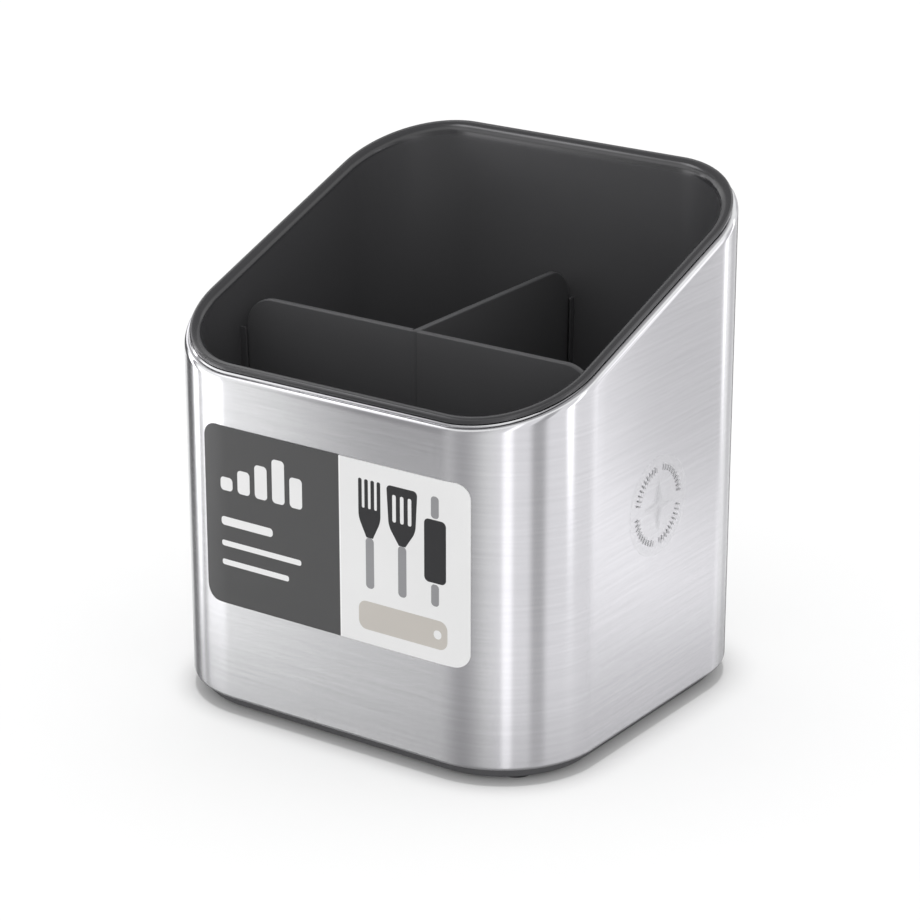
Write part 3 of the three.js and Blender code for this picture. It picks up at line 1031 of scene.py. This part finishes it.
def makeSticker():
    bm = bmesh.new()
    bmesh.ops.create_circle(bm, cap_ends=True, segments=stickerSizes["roundSteps"],
                            radius=stickerSizes["radius"] * mm)
    bmesh.ops.rotate(bm, cent=(0, 0, 0), matrix=Matrix.Rotation(math.pi / 2, 3, 'X'), verts=bm.verts)
    makeSlab(bm, bm.faces[:], ontoSide, stickerSizes["back"], stickerSizes["face"])
    makePiece("sticker", bm, makeStickerFilm(), "shell", "sticker_film", "side_sticker")


def addTick(bm, angle):
    half = stickerSizes["tickWidth"] / 2
    ring = stickerSizes["tickRing"]
    reach = stickerSizes["tickLength"] / 2
    before = set(bm.verts)
    addRectangle(bm, -half, ring - reach, half, ring + reach, half * stickerSizes["tickCorner"])
    bmesh.ops.rotate(bm, cent=(0, 0, 0), matrix=Matrix.Rotation(angle, 3, 'Y'),
                     verts=[vert for vert in bm.verts if vert not in before])


def addSparkle(bm, reach):   # outline of a four-point star, drawn as a narrow band
    waist = reach * stickerSizes["waist"]
    before = set(bm.faces)
    corners = []
    for step in range(4):
        angle = step * math.pi / 2
        for size, turn in ((reach, 0.0), (waist * math.sqrt(2), math.pi / 4)):
            corners.append((size * math.sin(angle + turn), size * math.cos(angle + turn), 0))
    addOutline(bm, corners)
    star = [face for face in bm.faces if face not in before]
    bmesh.ops.inset_region(bm, faces=star, thickness=stickerSizes["lineWidth"] / 2 * mm,
                           use_boundary=True, use_even_offset=True)
    bmesh.ops.delete(bm, geom=star, context='FACES')


def makeStickerPrint():
    bm = bmesh.new()
    for step in range(stickerSizes["tickCount"]):
        if step % stickerSizes["tickGroup"] >= stickerSizes["tickGap"]:
            addTick(bm, math.tau * step / stickerSizes["tickCount"])
    for reach in stickerSizes["sparkle"]:
        addSparkle(bm, reach)
    face = stickerSizes["face"]
    half = stickerSizes["printHalf"]
    makeSlab(bm, bm.faces[:], ontoSide, face - half, face + half)
    makePiece("stickerPrint", bm, makeInk("stickerInk", stickerLook["ink"]), "shell", "sticker_film")


makeSticker()
makeStickerPrint()
print("sticker: film and print")


# Camera at the photograph's place
photoCamera = {
    "lens": 123.04,
    "sensor": 36.0,
    "clipStart": 0.01,
    "yaw": 35.05,
    "pitch": 20.21,
    "place": (494.55, -705.38, 384.69),
}


def makeCamera():
    data = bpy.data.cameras.new("photoCamera")
    data.lens = photoCamera["lens"]
    data.sensor_width = photoCamera["sensor"]
    data.clip_start = photoCamera["clipStart"]
    camera = bpy.data.objects.new("photoCamera", data)
    yaw = math.radians(photoCamera["yaw"])
    pitch = math.radians(photoCamera["pitch"])
    back = Vector((math.sin(yaw) * math.cos(pitch), -math.cos(yaw) * math.cos(pitch), math.sin(pitch)))
    camera.location = Vector(photoCamera["place"]) * mm
    camera.rotation_mode = 'QUATERNION'
    camera.rotation_quaternion = (-back).to_track_quat("-Z", "Y")
    bpy.context.scene.collection.objects.link(camera)
    bpy.context.scene.camera = camera


makeCamera()


# Studio: white floor and dome, and cards on a drum round the pot that only its reflections see
studio = {
    "domeLow": 0.80,         # light from the horizon and from above; the background itself is white
    "domeHigh": 1.20,
    "floorColor": (0.56, 0.56, 0.56),
    "floorGlow": 0.07,       # lifts the floor to white where the camera and the reflections see it
    "floorSize": 6.0,
    "drumRadius": 0.25,
    "drumLow": -0.4,
    "drumHigh": 0.25,
    "cardColumns": 32,
    "cardTint": (0.985, 0.972, 1.0),
}
# azimuth in degrees (0 is +X), half width, soft share of it, brightness, cover at the foot, heights of the
# fade at the foot and, for a card that ends below the drum's top or above it, of the fade at its head
studioCards = {
    "frontLipSoftbox": (-130, 22, 0.7, 1.50, 0.0, 0.19, 0.22, 0.32, 0.37),
    "backRimSoftbox": (-158, 18, 0.5, 3.60, 0.0, 0.37, 0.40, 0.52, 0.56),
    "leftHighDark": (-172, 24, 0.35, 0.35, 0.0, 0.29, 0.33, 0.60, 0.62),
    "backHighDark": (130, 45, 0.35, 0.30, 0.0, 0.31, 0.36, 0.58, 0.60),
    "leftLipGleam": (178, 14, 0.5, 1.40, 0.0, 0.17, 0.20, 0.29, 0.33),
    "rightLipGleam": (30, 14, 0.7, 1.40, 0.0, 0.125, 0.155, 0.195, 0.235),
    "leftEdgeFlag": (179, 11.7, 0.4, 0.12, 0.9, -0.06, 0.03, 0.13, 0.18),
    "leftStrip": (-165, 4.2, 0.6, 3.20, 0.1, -0.06, 0.03),
    "leftGap": (-160, 4.5, 0.7, 0.42, 1.0, -0.06, 0.03),
    "leftSoftbox": (-142, 13.5, 0.3, 2.25, 0.0, -0.06, 0.03, 0.11, 0.17),
    "frontShade": (-111.8, 15.5, 0.85, 0.34, 0.1, -0.065, 0.02),
    "cornerShade": (-88, 38, 1.0, 0.42, 1.0, -0.06, 0.03),
    "cameraStrip": (-50, 6, 0.7, 1.40, 0.95, -0.06, 0.03),
    "thinFlag": (-25.5, 9, 0.7, 0.46, 0.3, -0.085, -0.05),
    "rightStrip": (2.8, 4.5, 0.6, 2.30, 0.0, 0.005, 0.03),
    "rearGrey": (49.4, 11, 0.6, 0.66, 0.0, -0.025, 0.0),
    "rearStrip": (56.5, 4.2, 0.6, 3.60, 0.1, 0.0, 0.06),
    "rightGleam": (41, 13, 0.7, 1.13, 0.0, -0.085, -0.05),
    "rearFlag": (76, 10, 0.6, 0.62, 0.8, -0.06, 0.03),
    "edgeFlag": (95, 9, 0.5, 0.15, 1.0, -0.06, 0.03),
    "backDark": (118, 38, 0.5, 0.42, 0.0, 0.02, 0.12, 0.30, 0.34),
    "rightFill": (0, 72, 0.25, 0.89, 1.0, -0.06, 0.03),
}
ceiling = {"height": 0.62, "radius": 0.45, "soft": 0.35, "level": 0.40, "rows": 12}   # dark, above the rim
contactShade = {
    "level": 0.15,
    "nearCover": 0.92,
    "cover": 0.38,
    "nearReach": 7.0,
    "reach": 85.0,
    "inset": 8.0,            # of its plate, under the pot
    "lift": 0.5,
    "rows": 14,
}
floorLamp = {"power": 2.10, "angle": 9.0}


def makeCardMaterial():
    material = bpy.data.materials.new("studioCard")
    material.use_nodes = True
    material.cycles.emission_sampling = 'NONE'
    tree = material.node_tree
    tree.nodes.clear()
    level = addNode(tree, "ShaderNodeAttribute", attribute_name="level")
    cover = addNode(tree, "ShaderNodeAttribute", attribute_name="cover")
    glow = addNode(tree, "ShaderNodeEmission", {"Color": (*studio["cardTint"], 1),
                                                "Strength": level.outputs["Fac"]})
    clear = addNode(tree, "ShaderNodeBsdfTransparent")
    mix = addNode(tree, "ShaderNodeMixShader", {0: cover.outputs["Fac"], 1: clear.outputs[0],
                                                2: glow.outputs[0]})
    addNode(tree, "ShaderNodeOutputMaterial", {0: mix.outputs[0]})
    return material


def easeIn(share):
    share = max(0.0, min(1.0, share))
    return share * share * (3 - 2 * share)


def placeCard(name, bm, material, level, coverAt):   # seen by reflections alone
    coverLayer = bm.verts.layers.float.new("cover")
    levelLayer = bm.verts.layers.float.new("level")
    for vert in bm.verts:
        vert[coverLayer] = coverAt(vert.co)
        vert[levelLayer] = level
    card = meshObject(name, bm, material)
    for ray in ("camera", "diffuse", "shadow", "transmission", "volume_scatter"):
        setattr(card, "visible_" + ray, False)


def makeDrumCard(name, material, radius, azimuth, halfAngle, soft, level, foot, fadeLow, fadeHigh, *ends):
    tops = ends or [studio["drumHigh"]]
    heights = [studio["drumLow"], fadeLow, (fadeLow + fadeHigh) / 2, fadeHigh, *tops]
    bm = bmesh.new()
    bmesh.ops.create_grid(bm, x_segments=studio["cardColumns"], y_segments=len(heights) - 1, size=1)
    for vert in bm.verts:
        row = round((vert.co.y + 1) / 2 * (len(heights) - 1))
        angle = math.radians(azimuth + vert.co.x * halfAngle)
        vert.co = (radius * math.cos(angle), radius * math.sin(angle), heights[row])

    def coverAt(point):
        turn = math.degrees(math.atan2(point.y, point.x)) - azimuth
        turn = abs((turn + 180) % 360 - 180)
        rise = easeIn((point.z - fadeLow) / (fadeHigh - fadeLow))
        if ends:
            rise *= easeIn((ends[1] - point.z) / (ends[1] - ends[0]))
        return easeIn((1 - turn / halfAngle) / soft) * (foot + (1 - foot) * rise)

    placeCard(name, bm, material, level, coverAt)


def makeContactShade(material):   # the pot's own shadow on the floor, as its foot reflects it
    reach = contactShade["reach"] * mm
    near = contactShade["nearReach"] * mm
    rows = contactShade["rows"]
    level = levelAt(contactShade["lift"] * mm)
    bm = bmesh.new()
    edges = firstRing(bm, contactShade["inset"] * mm, level)
    growWall(bm, edges, [(-reach * (row / rows) ** 2, level) for row in range(1, rows + 1)])

    def coverAt(point):
        heart = Vector((clampTo(point.x, farX), clampTo(point.y, farY)))
        away = (point.xy - heart).length - cornerRadius
        broad = contactShade["cover"] * easeIn(1 - away / reach)
        return max(broad, contactShade["nearCover"] * easeIn(1 - away / near))

    placeCard("contactShade", bm, material, contactShade["level"], coverAt)


def makeCeiling(material):
    rows = ceiling["rows"]
    bm = bmesh.new()
    bmesh.ops.create_grid(bm, x_segments=rows * 2, y_segments=rows * 2, size=ceiling["radius"])
    bmesh.ops.translate(bm, vec=(0, 0, ceiling["height"]), verts=bm.verts)

    def coverAt(point):
        return easeIn((1 - point.xy.length / ceiling["radius"]) / ceiling["soft"])

    placeCard("ceiling", bm, material, ceiling["level"], coverAt)


def makeFloorLamp(floor):   # from straight above, and lights the floor alone
    data = bpy.data.lights.new("floorLamp", 'SUN')
    data.energy = floorLamp["power"]
    data.angle = math.radians(floorLamp["angle"])
    lamp = bpy.data.objects.new("floorLamp", data)
    lamp.location = (0, 0, 1)
    lamp.visible_glossy = False
    bpy.context.scene.collection.objects.link(lamp)
    litByLamp = bpy.data.collections.new("litByFloorLamp")
    litByLamp.objects.link(floor)
    lamp.light_linking.receiver_collection = litByLamp


def seenDirectly(tree):   # 1 for what the camera sees, also in metal and through film
    path = addNode(tree, "ShaderNodeLightPath").outputs
    seen = mathNode(tree, 'MAXIMUM', path["Is Camera Ray"], path["Is Glossy Ray"])
    return mathNode(tree, 'MAXIMUM', seen, path["Is Transmission Ray"])


def makeFloorMaterial():
    material, tree, shader = newMaterial("floorWhite")
    setInputs(tree, shader, {
        "Base Color": (*studio["floorColor"], 1),
        "Roughness": 0.9,
        "Specular IOR Level": 0.0,
        "Emission Color": (1, 1, 1, 1),
        "Emission Strength": mathNode(tree, 'MULTIPLY', seenDirectly(tree), studio["floorGlow"]),
    })
    return material


def makeStudio():
    scene = bpy.context.scene
    scene.view_settings.view_transform = 'Standard'
    world = bpy.data.worlds.new("whiteDome")
    scene.world = world
    world.use_nodes = True
    tree = world.node_tree
    sky = addNode(tree, "ShaderNodeTexCoord").outputs["Generated"]
    upwards = addNode(tree, "ShaderNodeSeparateXYZ", {"Vector": sky}).outputs["Z"]
    light = rangeTo(tree, upwards, studio["domeLow"], studio["domeHigh"])
    strength = rangeTo(tree, seenDirectly(tree), light, 1.0)
    setInputs(tree, tree.nodes["Background"], {"Color": (1, 1, 1, 1), "Strength": strength})
    bm = bmesh.new()
    bmesh.ops.create_grid(bm, x_segments=1, y_segments=1, size=studio["floorSize"])
    floor = meshObject("floor", bm, makeFloorMaterial())
    floor.visible_glossy = False   # the cards stand in for it in the steel
    cardMaterial = makeCardMaterial()
    for place, (name, values) in enumerate(studioCards.items()):
        makeDrumCard(name, cardMaterial, studio["drumRadius"] + place * mm, *values)
    makeCeiling(cardMaterial)
    makeContactShade(cardMaterial)
    makeFloorLamp(floor)


makeStudio()
print("studio: floor, dome and", len(studioCards) + 2, "cards")
